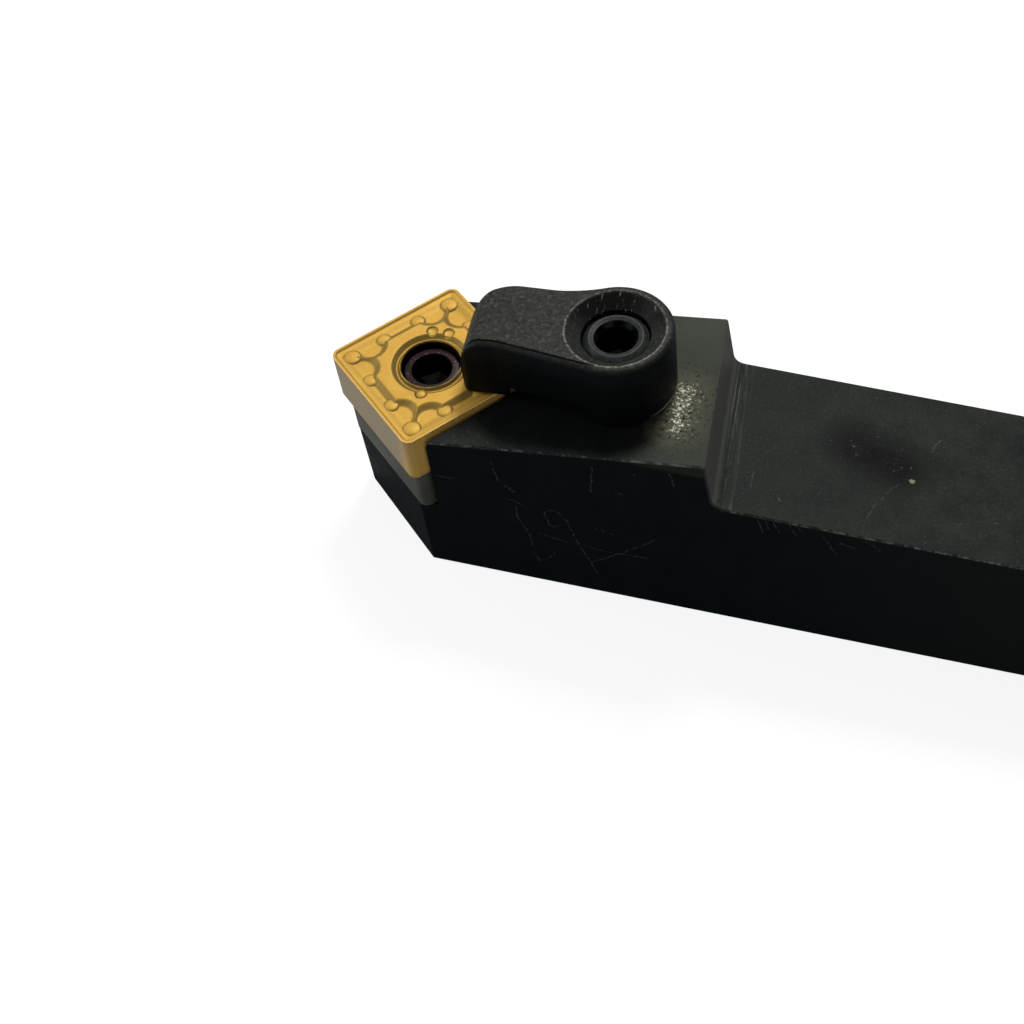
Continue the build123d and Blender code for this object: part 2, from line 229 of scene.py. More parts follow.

# The head round the clamp's boss is painted near black to about 1 mm beyond its near side: black oil and the
# clamp's painted shadow.
gap = distance_to_lines(tree, shaken, [(on_head(-32, -2.2), on_head(-26, -2.2))])
oil = add(tree, "MapRange", {"Value": gap, "From Min": 6.1, "From Max": 5.0, "To Max": 0.9}).outputs[0]
above = add(tree, "MapRange", {"Value": facing.outputs["Z"], "From Min": 0.5, "From Max": 0.8}).outputs[0]
oil = add(tree, "Math", {0: oil, 1: above}, operation="MULTIPLY").outputs[0]
colour = add(tree, "Mix", {"Factor": oil, 6: colour, 7: linear("050707")}, data_type="RGBA").outputs[2]

# Swarf and oil behind the clamp, in a bank about 4 mm long against the boss: pale crumbs about 0.3 mm across
# in an olive film, with black specks round them. The pale crumbs are partly swarf and partly painted glints
# on the oil.
heap = distance_to_lines(tree, shaken, [(on_head(-20.3, -3.8), on_head(-20.0, -0.4))])
swarf = add(tree, "MapRange", {"Value": heap, "From Min": 3.0, "From Max": 0.2}).outputs[0]
film = add(tree, "Math", {0: swarf, 1: 0.7}, operation="MULTIPLY").outputs[0]
colour = add(tree, "Mix", {"Factor": film, 6: colour, 7: linear("5C5C48")}, data_type="RGBA").outputs[2]
crumbs = add(tree, "TexNoise", {"Vector": place, "Scale": 3.6, "Detail": 4.0, "Roughness": 0.8}).outputs[0]
level = add(tree, "MapRange", {"Value": swarf, "To Min": 0.78, "To Max": 0.5}).outputs[0]
crumbs = add(tree, "Math", {0: crumbs, 1: level}, operation="SUBTRACT").outputs[0]
crumbs = add(tree, "MapRange", {"Value": crumbs, "From Max": 0.05}).outputs[0]
behind = add(tree, "MapRange", {"Value": split.outputs["X"], "From Min": -21.6, "From Max": -20.4}).outputs[0]
wet = add(tree, "Math", {0: crumbs, 1: behind}, operation="MULTIPLY").outputs[0]
colour = add(tree, "Mix", {"Factor": wet, 6: colour, 7: linear("CFCFBE")}, data_type="RGBA").outputs[2]
crack = add(tree, "TexNoise", {"Vector": place, "Scale": 2.6, "Detail": 5.0, "Roughness": 0.85}).outputs[0]
crack = add(tree, "MapRange", {"Value": crack, "From Min": 0.54, "From Max": 0.59}).outputs[0]
around = add(tree, "MapRange", {"Value": heap, "From Min": 4.2, "From Max": 1.2}).outputs[0]
crack = add(tree, "Math", {0: crack, 1: around}, operation="MULTIPLY").outputs[0]
colour = add(tree, "Mix", {"Factor": crack, 6: colour, 7: linear("0A0B0B")}, data_type="RGBA").outputs[2]

# A darker oily patch on the shank's top, about 7 mm long, with pale specks caught in it.
gap = distance_to_lines(tree, shaken, [((-5, 1.1, SHANK_TOP), (-1.4, -0.2, SHANK_TOP))])
patch = add(tree, "MapRange", {"Value": gap, "From Min": 3.6, "From Max": 0.9, "To Max": 0.95}).outputs[0]
colour = add(tree, "Mix", {"Factor": patch, 6: colour, 7: linear("080A09")}, data_type="RGBA").outputs[2]
specks = add(tree, "TexNoise", {"Vector": place, "Scale": 2.6, "Detail": 4.0, "Roughness": 0.8}).outputs[0]
specks = add(tree, "MapRange", {"Value": specks, "From Min": 0.62, "From Max": 0.7}).outputs[0]
specks = add(tree, "Math", {0: specks, 1: patch}, operation="MULTIPLY").outputs[0]
colour = add(tree, "Mix", {"Factor": specks, 6: colour, 7: linear("5E6264")}, data_type="RGBA").outputs[2]

# One pale chip, 0.6 mm across and ragged, at the end of the longest scratch there.
chip = add(tree, "VectorMath", {0: shaken, 1: (-0.1, -1.4, SHANK_TOP)}, operation="DISTANCE").outputs["Value"]
ragged = add(tree, "Math", {0: grain, 1: 0.6}, operation="MULTIPLY").outputs[0]
chip = add(tree, "Math", {0: chip, 1: ragged}, operation="ADD").outputs[0]
chip = add(tree, "MapRange", {"Value": chip, "From Min": 0.6, "From Max": 0.5, "To Max": 0.75}).outputs[0]
colour = add(tree, "Mix", {"Factor": chip, 6: colour, 7: linear("8E8C76")}, data_type="RGBA").outputs[2]

matt = add(tree, "MapRange",
           {"Value": cloud, "From Min": 0.3, "From Max": 0.7, "To Min": 0.42, "To Max": 0.6}).outputs[0]
matt = add(tree, "Mix", {"Factor": wet, 2: matt, 3: 0.2}, data_type="FLOAT").outputs[0]
bump = add(tree, "Bump", {"Height": grain, "Strength": 0.35, "Distance": 0.00005}).outputs[0]
shader = add(tree, "BsdfPrincipled", {"Base Color": colour, "Roughness": matt, "Specular IOR Level": 0.035,
                                      "Normal": bump})
add(tree, "OutputMaterial", {"Surface": shader.outputs["BSDF"]})
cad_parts["holder_body"].data.materials.clear()
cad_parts["holder_body"].data.materials.append(black_oxide)


# Insert
# Pressed and sintered tungsten carbide, ground on its flanks and coated gold with titanium
# nitride. Both faces carry the same chip grooves: a rim, a plateau round the bore, and domes.
def tilted(angle):
    """Axes along, across and upward, turned by an angle so that the first one rises."""
    return np.array([[np.cos(angle), 0, np.sin(angle)], [0, 1, 0], [-np.sin(angle), 0, np.cos(angle)]])


POCKET_TILT = np.radians(6.0)
INSERT_TILT = np.arctan(np.sqrt(2) * np.tan(POCKET_TILT))
POCKET_AXES = tilted(INSERT_TILT)
ALONG, ACROSS, UPWARD = POCKET_AXES
DIAGONAL = np.array([(ALONG + ACROSS) / np.sqrt(2), (ACROSS - ALONG) / np.sqrt(2), UPWARD])
INSERT_SIZE = 12.7
INSERT_THICKNESS = 4.76
INSERT_CORNER = 0.8
INSERT_BORE = 2.58
GROOVE_DEPTH = 0.36
TAB_LINE = 4.3
RING_GROOVE = 3.42
TIP_HEIGHT = 16.4
INSERT_CENTRE = np.array([TIP_X, 0, TIP_HEIGHT]) + ALONG * INSERT_SIZE / np.sqrt(2)


def surface(name, patches, material, sharp=None, **marks):
    """Joins grids of points, in millimetres, into one closed mesh.

    Every cell of a grid is a face. Points that touch are merged, faces that this leaves with no
    area are dropped, and the rest are turned outwards. Each mark is one value for every point,
    kept on the mesh as an attribute that the material reads."""
    points, faces, count = [], [], 0
    for grid in patches:
        rows, columns = grid.shape[:2]
        corner = count + np.arange(rows * columns).reshape(rows, columns)
        cells = np.stack([corner[:-1, :-1], corner[:-1, 1:], corner[1:, 1:], corner[1:, :-1]], -1)
        points.append(grid.reshape(-1, 3) / 1000)
        faces.append(cells.reshape(-1, 4))
        count += rows * columns
    mesh = bpy.data.meshes.new(name)
    mesh.from_pydata(np.concatenate(points).tolist(), [], np.concatenate(faces).tolist())
    for mark, values in marks.items():
        flat = np.concatenate([np.broadcast_to(v, g.shape[:2]).ravel() for v, g in zip(values, patches)])
        mesh.attributes.new(mark, "FLOAT", "POINT").data.foreach_set("value", flat.astype(np.float32))
    work = bmesh.new()
    work.from_mesh(mesh)
    bmesh.ops.remove_doubles(work, verts=work.verts, dist=2e-7)
    bmesh.ops.dissolve_degenerate(work, edges=work.edges, dist=1e-8)
    bmesh.ops.recalc_face_normals(work, faces=work.faces)
    work.to_mesh(mesh)
    work.free()
    mesh.shade_smooth()
    if sharp:
        mesh.set_sharp_from_angle(angle=np.radians(sharp))
    mesh.materials.append(material)
    made = bpy.data.objects.new(name, mesh)
    bpy.context.collection.objects.link(made)
    return made


def rounded_square(size, corner, count):
    """Points round a square with rounded corners, anticlockwise from the middle of the right side.

    A quarter is half a side, an arc and half a side, cut into equal steps along its length; the
    other three are that quarter turned by 90, 180 and 270 degrees. The last point is the first.
    With the points come their directions from the middle."""
    half = size / 2
    turn = np.linspace(0, np.pi / 2, 200)
    x = np.concatenate([[half], half - corner + corner * np.cos(turn), [0]])
    y = np.concatenate([[0], half - corner + corner * np.sin(turn), [half]])
    length = np.concatenate([[0], np.cumsum(np.hypot(np.diff(x), np.diff(y)))])
    step = np.linspace(0, length[-1], count // 4, endpoint=False)
    quarter = np.interp(step, length, x) + 1j * np.interp(step, length, y)
    loop = np.concatenate([quarter * 1j ** k for k in range(4)] + [quarter[:1]])
    loop = np.stack([loop.real, loop.imag], -1)
    return loop, loop / np.linalg.norm(loop, axis=1)[:, None]


def at_height(plan, height):
    """A grid of points in plan with a height for each, or one for each row."""
    return np.dstack([plan, np.broadcast_to(height, plan.shape[:2])])


def ease(value):
    """Smooth step from 0 to 1: 3 t squared less 2 t cubed, with t kept between 0 and 1."""
    value = np.clip(value, 0, 1)
    return value * value * (3 - 2 * value)


def chip_face(a, b):
    """Height of the insert's face over its rim, at a and b millimetres from the centre.

    The pattern repeats eight times, so it is worked out in one eighth: o is the distance towards
    the nearest side and s the distance along it. The plateau is what is inside the tab line and
    outside the pocket circle. It falls to the groove over a sloping wall. The rim falls a little
    at the edge and the rest slowly; reach is how far out a point is, measured round the corners.
    Domes stand in the groove. Round the bore is a ring groove with a raised lip."""
    o = np.maximum(np.abs(a), np.abs(b))
    s = np.minimum(np.abs(a), np.abs(b))
    radius = np.hypot(a, b)
    pocket = 1.75 - np.hypot(s - 3.15, o - 5.0)
    wall = ease(np.maximum(o - TAB_LINE, pocket) / 0.8)
    core = INSERT_SIZE / 2 - INSERT_CORNER
    reach = np.where(o > core, core + np.hypot(np.clip(o - core, 0, None), np.clip(s - core, 0, None)), o)
    edge = INSERT_SIZE / 2 - 0.1 - reach
    rim = 0.45 * ease((edge - 0.08) / 0.2) + 0.55 * ease((edge - 0.2) / 1.1)
    height = -GROOVE_DEPTH * np.minimum(wall, rim)
    for away, out, size, level in ((1.72, 4.98, 0.68, -0.14), (4.92, 4.92, 0.8, -0.1)):
        rise = 1 - ((s - away) ** 2 + (o - out) ** 2) / size ** 2
        dome = level - 0.18 + 0.18 * np.sqrt(np.clip(rise, 0, 1))
        height = np.where(rise > 0, np.maximum(height, dome), height)
    recess = ease((RING_GROOVE - radius) / 0.5) * GROOVE_DEPTH
    lip = 0.3 * np.exp(-((radius - INSERT_BORE - 0.08) / 0.12) ** 2)
    height = height - recess + lip
    for x, y in ((2.05, 3.05), (3.05, 1.95)):
        dent = 1 - ((a - x) ** 2 + (b - y) ** 2) / 0.52 ** 2
        height = height - 0.2 * np.sqrt(np.clip(dent, 0, 1))
    bump = 1 - ((a + 2.42) ** 2 + (b + 2.37) ** 2) / 0.55 ** 2
    return np.where(bump > 0, -0.26 + 0.25 * np.sqrt(np.clip(bump, 0, 1)), height)


# Titanium nitride: a metal-like gold, satin because the carbide under it is finely pitted. The pressed slopes
# are painted olive as shade, the ground flanks are grey-gold, and the honed edge is painted paler as a
# highlight.
gold, tree, metres = new_material("titanium_nitride_on_carbide")
cloud = add(tree, "TexNoise", {"Vector": metres, "Scale": 500.0, "Detail": 4.0, "Roughness": 0.6}).outputs[0]
speck = add(tree, "TexNoise", {"Vector": metres, "Scale": 6000.0, "Detail": 3.0, "Roughness": 0.7}).outputs[0]
colour = add(tree, "Mix", {"Factor": cloud, 6: linear("AE8435"), 7: linear("C29A43")},
             data_type="RGBA").outputs[2]

# The flanks are grey-gold towards the cutting corner and brighter gold behind it, the brighter gold partly a
# painted reflection.
front = add(tree, "SeparateXYZ", {0: metres}).outputs["X"]
front = add(tree, "MapRange", {"Value": front, "From Min": -0.0425, "From Max": -0.0405}).outputs[0]
side = add(tree, "Mix", {"Factor": front, 6: linear("A0927A"), 7: linear("DCB05A")},
           data_type="RGBA").outputs[2]
# Each mark mixes in its tint: painted shade on the slopes, the flanks' tone, a painted highlight on the honed
# edge and painted shade in the bore.
tints = (("slope", linear("75602A")), ("flank", side), ("hone", linear("E0C688")), ("soot", linear("0A0706")))
for mark, tint in tints:
    mark = add(tree, "Attribute", attribute_name=mark).outputs["Fac"]
    colour = add(tree, "Mix", {"Factor": mark, 6: colour, 7: tint}, data_type="RGBA").outputs[2]
grit = add(tree, "MapRange",
           {"Value": speck, "From Min": 0.3, "From Max": 0.7, "To Min": 0.9, "To Max": 1.1}).outputs[0]
colour = add(tree, "VectorMath", {0: colour, "Scale": grit}, operation="SCALE").outputs["Vector"]
bump = add(tree, "Bump", {"Height": speck, "Strength": 0.25, "Distance": 0.00002}).outputs[0]
shader = add(tree, "BsdfPrincipled", {"Base Color": colour, "Roughness": 0.5, "Metallic": 0.25,
                                      "Specular IOR Level": 0.12, "Normal": bump})
add(tree, "OutputMaterial", {"Surface": shader.outputs["BSDF"]})

outline, bearing = rounded_square(INSERT_SIZE, INSERT_CORNER, 520)
edge_round = 0.05
groove_out = 5.55 / (INSERT_SIZE / 2)
inner = 1 - edge_round / (INSERT_SIZE / 2)
share = np.linspace(0, 1, 96)[:-1, None, None]
fan = (1 - share) * bearing * INSERT_BORE + share * outline * groove_out
band = np.linspace(groove_out, inner, 20)[:, None, None] * outline
flat = np.concatenate([fan, band])
height = chip_face(flat[..., 0], flat[..., 1])
nudge = 0.02
steep = np.hypot(chip_face(flat[..., 0] + nudge, flat[..., 1]) - height,
                 chip_face(flat[..., 0], flat[..., 1] + nudge) - height)
steep = ease(steep / nudge / 0.5 - 0.2) * (0.45 + 0.55 * ease((5.8 - np.max(np.abs(flat), axis=-1)) / 0.3))
bend = np.radians([0, 30, 60, 90])[:, None]
side = outline * (inner + (1 - inner) * np.sin(bend))[..., None]
down = np.linspace(-edge_round, -INSERT_THICKNESS / 2, 6)[:, None]
upper = [at_height(flat, height), at_height(side, edge_round * (np.cos(bend) - 1)),
         at_height(np.stack([outline] * 6), down)]
lower = [grid * (1, 1, -1) - (0, 0, INSERT_THICKNESS) for grid in upper]
lower[0] = lower[0][::3]
lip, low_lip = upper[0][0], lower[0][0]
bore = np.stack([lip, lip - (0, 0, 0.12), low_lip + (0, 0, 0.12), low_lip])
patches = [INSERT_CENTRE + grid @ DIAGONAL for grid in (*upper, *lower, bore)]
slopes = [steep, 0, 0, steep[::3], 0, 0, 0]
rim_line = np.array([0, 1, 1, 0])[:, None]

# The wall of the bore between its two lips, the first and last of its four rows, is painted near black as
# shade.
insert = surface("insert_gold", patches, gold, slope=slopes, flank=[0, 0, 1, 0, 0, 1, 0],
                 hone=[0, rim_line, 0, 0, rim_line, 0, 0], soot=[0] * 6 + [rim_line])
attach(insert, "holder")
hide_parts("insert")


# Shim
# Ground seat plate of uncoated carbide under the insert. It is a little smaller than the insert
# and its counterbore takes the pin's collar. Bare carbide is a dull blue-grey with fine grain.
carbide, tree, metres = new_material("ground_tungsten_carbide")
cloud = add(tree, "TexNoise", {"Vector": metres, "Scale": 900.0, "Detail": 5.0, "Roughness": 0.7}).outputs[0]
speck = add(tree, "TexNoise", {"Vector": metres, "Scale": 5000.0, "Detail": 3.0, "Roughness": 0.7}).outputs[0]
colour = add(tree, "Mix", {"Factor": cloud, 6: linear("34342F"), 7: linear("54544D")},
             data_type="RGBA").outputs[2]
grit = add(tree, "MapRange",
           {"Value": speck, "From Min": 0.3, "From Max": 0.7, "To Min": 0.8, "To Max": 1.25}).outputs[0]
colour = add(tree, "VectorMath", {0: colour, "Scale": grit}, operation="SCALE").outputs["Vector"]
bump = add(tree, "Bump", {"Height": speck, "Strength": 0.2, "Distance": 0.00002}).outputs[0]
shader = add(tree, "BsdfPrincipled", {"Base Color": colour, "Roughness": 0.5, "Metallic": 0.2,
                                      "Specular IOR Level": 0.3, "Normal": bump})
add(tree, "OutputMaterial", {"Surface": shader.outputs["BSDF"]})

SHIM_SIZE = 12.1
SHIM_THICKNESS = 4.76
SHIM_BORE = 2.9
SEAT_BORE = 3.45
SEAT_DEPTH = 1.4
SHIM_CENTRE = INSERT_CENTRE + 0.2 * ALONG - INSERT_THICKNESS * UPWARD
outline, bearing = rounded_square(SHIM_SIZE, INSERT_CORNER, 320)
# Each row of the section is how far out it lies, from 0 at the circle to 1 at the outline, the
# circle's radius, and the depth below the top face.
section = np.array([(0, SEAT_BORE, 0), (0.5, SEAT_BORE, 0), (0.985, SEAT_BORE, 0), (0.995, SEAT_BORE, -0.015),
                    (1, SEAT_BORE, -0.06), (1, SEAT_BORE, -2.4), (1, SEAT_BORE, 0.3 - SHIM_THICKNESS),
                    (0.95, SEAT_BORE, -SHIM_THICKNESS), (0, SHIM_BORE, -SHIM_THICKNESS),
                    (0, SHIM_BORE, -SEAT_DEPTH), (0, SEAT_BORE, -SEAT_DEPTH), (0, SEAT_BORE, 0)])
out, circle, depth = (section[:, k, None, None] for k in range(3))
rows = at_height((1 - out) * circle * bearing + out * outline, depth[..., 0])
shim = surface("shim_carbide", [SHIM_CENTRE + rows @ DIAGONAL], carbide, sharp=30)
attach(shim, "holder")
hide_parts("shim")


# Lock pin
# Turned alloy steel pin, hardened and tempered until it takes a purple-brown heat colour. It is
# screwed into the pocket by its hexagon socket; its collar holds the shim, its head the insert.
def hexagon(flats, angle):
    """Distance from the middle of a hexagon to its side, for an array of angles.

    It is half the width across flats over the cosine of the angle from the nearest flat."""
    return flats / 2 / np.cos((angle + np.pi / 6) % (np.pi / 3) - np.pi / 6)


def turned(rows, axes, origin, columns=144):
    """Points of a turned surface: each row is a radius, or one for every angle, and a height."""
    angle = np.linspace(0, 2 * np.pi, columns + 1)
    radius = np.array([np.broadcast_to(r(angle) if callable(r) else r, angle.shape) for r, _ in rows])
    height = np.array([np.broadcast_to(h, angle.shape) for _, h in rows])
    local = np.stack([radius * np.cos(angle), radius * np.sin(angle), height], -1)
    return origin + local @ axes


def socket_end(top, mouth, flats, depth, way):
    """Rows of a hexagon socket from its floor to its mouth, way being 1 for a socket that opens up."""
    def side(angle):
        return hexagon(flats, angle)

    floor = top - way * depth
    return [(0, floor - way * 0.4), (lambda angle: 0.9 * side(angle), floor), (side, floor + way * 0.1),
            (side, top - way * 0.45), (mouth, top)]


def thread(outer, depth, pitch, hand, heights):
    """Rows of a thread, whose radius falls and rises once a pitch along a helix.

    The depth is taken off by |2 t - 1|, where t runs from 0 to 1 over a pitch and hand is 1 for a
    left-hand thread and -1 for a right-hand one."""
    def radius(angle, z):
        return outer - depth * np.abs(2 * ((z / pitch + hand * angle / (2 * np.pi)) % 1) - 1)

    return [(lambda angle, z=z: radius(angle, z), z) for z in heights]


heat_tint, tree, metres = new_material("tempered_steel")
cloud = add(tree, "TexNoise", {"Vector": metres, "Scale": 1500.0, "Detail": 5.0, "Roughness": 0.7}).outputs[0]
deep = add(tree, "Attribute", attribute_name="deep").outputs["Fac"]
colour = add(tree, "Mix", {"Factor": cloud, 6: linear("1C1213"), 7: linear("38282C")},
             data_type="RGBA").outputs[2]
# Small pale specks on the pin are painted glints.
spark = add(tree, "TexNoise", {"Vector": metres, "Scale": 3500.0, "Detail": 2.0}).outputs[0]
spark = add(tree, "MapRange", {"Value": spark, "From Min": 0.66, "From Max": 0.72}).outputs[0]
colour = add(tree, "Mix", {"Factor": spark, 6: colour, 7: linear("857678")}, data_type="RGBA").outputs[2]
colour = add(tree, "Mix", {"Factor": deep, 6: colour, 7: linear("030202")}, data_type="RGBA").outputs[2]
bump = add(tree, "Bump", {"Height": cloud, "Strength": 0.5, "Distance": 0.00005}).outputs[0]
shader = add(tree, "BsdfPrincipled", {"Base Color": colour, "Roughness": 0.3, "Specular IOR Level": 0.08,
                                      "Normal": bump})
add(tree, "OutputMaterial", {"Surface": shader.outputs["BSDF"]})

# The pin's sizes, with its heights from the top of the insert. The screw takes the same 3 mm key.
KEY = 3.0
PIN_TOP = -0.8
PIN_HEAD = 2.4
PIN_COLLAR = 3.1
COLLAR_TOP = -4.96
COLLAR_BASE = -6.16
PIN_THREAD = 2.45
PIN_PITCH = 0.8
PIN_END = -17.0
rows = socket_end(PIN_TOP, 1.75, KEY, 2.4, 1)
rows += [(1.82, PIN_TOP), (2.2, PIN_TOP), (2.32, PIN_TOP - 0.04), (PIN_HEAD, PIN_TOP - 0.18)]
rows += [(PIN_HEAD, -3.0), (PIN_HEAD, COLLAR_TOP), (PIN_COLLAR, COLLAR_TOP), (PIN_COLLAR, COLLAR_BASE)]
rows += [(PIN_THREAD, COLLAR_BASE)]
rows += thread(PIN_THREAD, 0.16, PIN_PITCH, -1, np.arange(-6.4, -16.65, -0.1))
rows += [(2.15, PIN_END), (0, PIN_END)]
# The socket, which is the first five rows, is painted black as shade.
deep = (np.arange(len(rows)) < 5)[:, None]
lock_pin = surface("lock_pin_tempered", [turned(rows, POCKET_AXES, INSERT_CENTRE)], heat_tint, sharp=30,
                   deep=[deep])
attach(lock_pin, "holder")
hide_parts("lock_pin")


# Clamp
# Finger clamp, precision cast in steel and blackened. A round boss sits on the head, the screw
# stands in its dished bore, and the finger reaches forward and presses its toe on the insert.
CLAMP_AXES = tilted(HEAD_ANGLE)
SCREW_CENTRE = np.array([-25.43738, 0, 19.79481])
CLAMP_TOP = 6.65
BOSS = 4.75
REACH = 12.7
NOSE_LENGTH = 2.1
NOSE_DROP = 4.25
DISH = 4.05
HOLE = 2.84
DISH_DEPTH = 0.95
NEAR_WIDTH = 2.8
FAR_WIDTH = 4.1
NEAR_CORNER = 0.85
FAR_CORNER = 4.2
BEND = 4.0
WAIST = 13.0
WAIST_MIDDLE = 16.9
TOE_BACK = -8.8
HEEL_FRONT = -1.5
STEP_WIDTH = 0.01
UNDERSIDE = 1.6
SEAT_GAP = 0.02
LOW_ROUND = 0.25
FOLD_WIDTH = 0.12


def arc(centre, radius, start, end):
    """Points of an arc between two angles in degrees: centre plus radius times cosine and sine."""
    turn = np.radians(np.linspace(start, end, 400))
    return np.stack([centre[0] + radius * np.cos(turn), centre[1] + radius * np.sin(turn)], -1)


def side_at(path, u):
    """Where one side of the clamp's outline is at u millimetres along it, and its outward normal."""
    run = np.gradient(path, axis=0)
    normal = np.stack([run[:, 1], -run[:, 0]], -1) / np.linalg.norm(run, axis=1)[:, None]
    if path[len(path) // 2, 1] > 0:
        normal = -normal
    spot = np.stack([u, np.interp(u, path[:, 0], path[:, 1])], -1)
    out = np.stack([np.interp(u, path[:, 0], normal[:, k]) for k in range(2)], -1)
    out[0], out[-1] = (-1, 0), (1, 0)
    return spot, out


def top_height(u):
    """Height of the clamp's top, which falls at the nose along a quarter of an ellipse."""
    along = np.clip((NOSE_LENGTH - REACH - u) / NOSE_LENGTH, 0, 1)
    return CLAMP_TOP - NOSE_DROP * (1 - np.sqrt(1 - along ** 2))


# The near side runs straight back, bends a little and meets the boss; the far side has a waist.
near_start = -9.4
near_turn = np.arctan2(-NEAR_WIDTH, near_start) + np.arccos(BOSS / np.hypot(NEAR_WIDTH, near_start))
near_turn = np.degrees(near_turn)
slant = near_turn + 90
bend_x = near_start - BEND * np.tan(np.radians(-slant) / 2)
near_side = np.concatenate([arc((-REACH + NEAR_CORNER, NEAR_CORNER - NEAR_WIDTH), NEAR_CORNER, -180, -90),
                            arc((bend_x, -NEAR_WIDTH - BEND), BEND, 90, 90 + slant),
                            arc((0, 0), BOSS, near_turn, 0)])
waist_x = -np.sqrt((BOSS + WAIST) ** 2 - WAIST_MIDDLE ** 2)
far_turn = np.degrees(np.arctan2(WAIST_MIDDLE, waist_x))
far_side = np.concatenate([arc((-REACH + FAR_CORNER, FAR_WIDTH - FAR_CORNER), FAR_CORNER, 180, 90),
                           arc((waist_x, WAIST_MIDDLE), WAIST, -90, far_turn - 180),
                           arc((0, 0), BOSS, far_turn, 0)])

# Stations along the clamp, closer together at both ends of every span, as a cosine is. The two
# narrow spans are the steps of the underside, at the back of the toe and the front of the heel.
knots = [-REACH, -REACH + NEAR_CORNER, -10.6, near_start, TOE_BACK - STEP_WIDTH, TOE_BACK + STEP_WIDTH, -8.5,
         -5.4, -DISH, -HOLE, HEEL_FRONT - STEP_WIDTH, HEEL_FRONT + STEP_WIDTH, HOLE, DISH, BOSS]
counts = [14, 10, 8, 5, 1, 3, 18, 8, 14, 12, 1, 34, 14, 12]
station = np.concatenate([a + (b - a) * (1 - np.cos(np.pi * np.arange(n) / n)) / 2
                          for a, b, n in zip(knots[:-1], knots[1:], counts)] + [[BOSS]])
toe_height = SEAT_GAP - (SCREW_CENTRE - INSERT_CENTRE) @ UPWARD - station * (CLAMP_AXES[0] @ UPWARD)
toe_height = toe_height / (CLAMP_AXES[2] @ UPWARD)
floor_height = np.where(station < TOE_BACK, toe_height, np.where(station < HEEL_FRONT, UNDERSIDE, SEAT_GAP))
near, near_out = side_at(near_side, station)
far, far_out = side_at(far_side, station)
rounding = 0.5 - 0.2 * ease((-11 - station) / 1.5)
fold = ease((station + 12.2) / 0.9) * ease((-0.5 - station) / 2)
share = np.linspace(0, 1, 15)

# The front edge is straight, so its points lie as far apart as those of the two faces there. The
# line that parts the faces leans from the clamp's middle to the middle of that edge.
middle = (near[0, 1] + far[0, 1]) / 2
lean = middle * ease((near_start - station) / (REACH + near_start))
front_v = np.concatenate([middle + (far[0, 1] - middle) * (1 - share[1:]),
                          middle + (near[0, 1] - middle) * (1 - share[-2:0:-1])])
front = np.stack([np.full(len(front_v), -REACH), front_v], -1)
ring = np.concatenate([near, far[::-1], front, near[:1]])
ring_out = np.concatenate([near_out, far_out[::-1], np.broadcast_to((-1.0, 0.0), front.shape), near_out[:1]])
ring_round = np.concatenate([rounding, rounding[::-1], np.full(len(front), rounding[0]), rounding[:1]])
ring_floor = np.concatenate([floor_height, floor_height[::-1], np.full(len(front), floor_height[0]),
                             floor_height[:1]])
ring_fold = np.concatenate([fold, 0 * fold, 0 * front_v, fold[:1]])


def skin_row(inset, drop, height=None):
    """A row of points round the clamp, inset from its outline: a drop below the top, or at a height."""
    plan = ring - (inset + 0 * ring_round)[:, None] * ring_out
    return np.column_stack([plan, top_height(plan[:, 0]) - drop if height is None else height])


# The side from the floor up: a small round, the wall, the top edge's round, and the fold where
# the die left a line along the finger.
low = np.radians(np.linspace(0, 90, 5))
wall = np.linspace(0, 1, 9)[1:-1]
high = np.radians(np.linspace(0, 90, 9))
low_edge = ring_floor + LOW_ROUND
high_edge = top_height(ring[:, 0]) - ring_round
rows = [skin_row(LOW_ROUND * (1 - np.sin(t)), 0, ring_floor + LOW_ROUND * (1 - np.cos(t))) for t in low]
rows += [skin_row(0, 0, low_edge * (1 - t) + high_edge * t) for t in wall]
rows += [skin_row(ring_round * (1 - np.cos(t)),
                  ring_round * (1 - np.sin(t)) + 0.08 * ring_fold * np.sin(t) ** 4)
         for t in high]
rows += [skin_row(ring_round + FOLD_WIDTH / 2, 0.16 * ring_fold), skin_row(ring_round + FOLD_WIDTH, 0)]
skin = np.stack(rows)
none = 0 * ring_fold
skin_fold = np.stack([none] * 12 + [ring_fold * np.sin(t) ** 4 for t in high] + [ring_fold, 0.5 * ring_fold])
skin_top = np.concatenate([np.zeros(12), np.sin(high) ** 5, [1, 1]])[:, None]


def half_face(edge, middle, height):
    """Rows from the edge of one half of the clamp to the middle line or the dish, at a height."""
    rows = edge + share[:, None, None] * (middle - edge)
    return at_height(rows, height(rows[..., 0]))


def middle_line(front_in, back_in, radius, way):
    """Inner ends of the rows: round a circle where there is one, and along the middle elsewhere.

    Near both ends of the clamp the stations are drawn in by the width of the edge's round."""
    drawn_in = np.interp(station, (-REACH, near_start), (-REACH + front_in, near_start))
    u = np.where(station < near_start, drawn_in, station)
    u = np.where(u > DISH, np.interp(u, (DISH, BOSS), (DISH, BOSS - back_in)), u)
    return np.stack([u, way * np.sqrt(np.clip(radius ** 2 - u ** 2, 0, None)) + lean], -1)


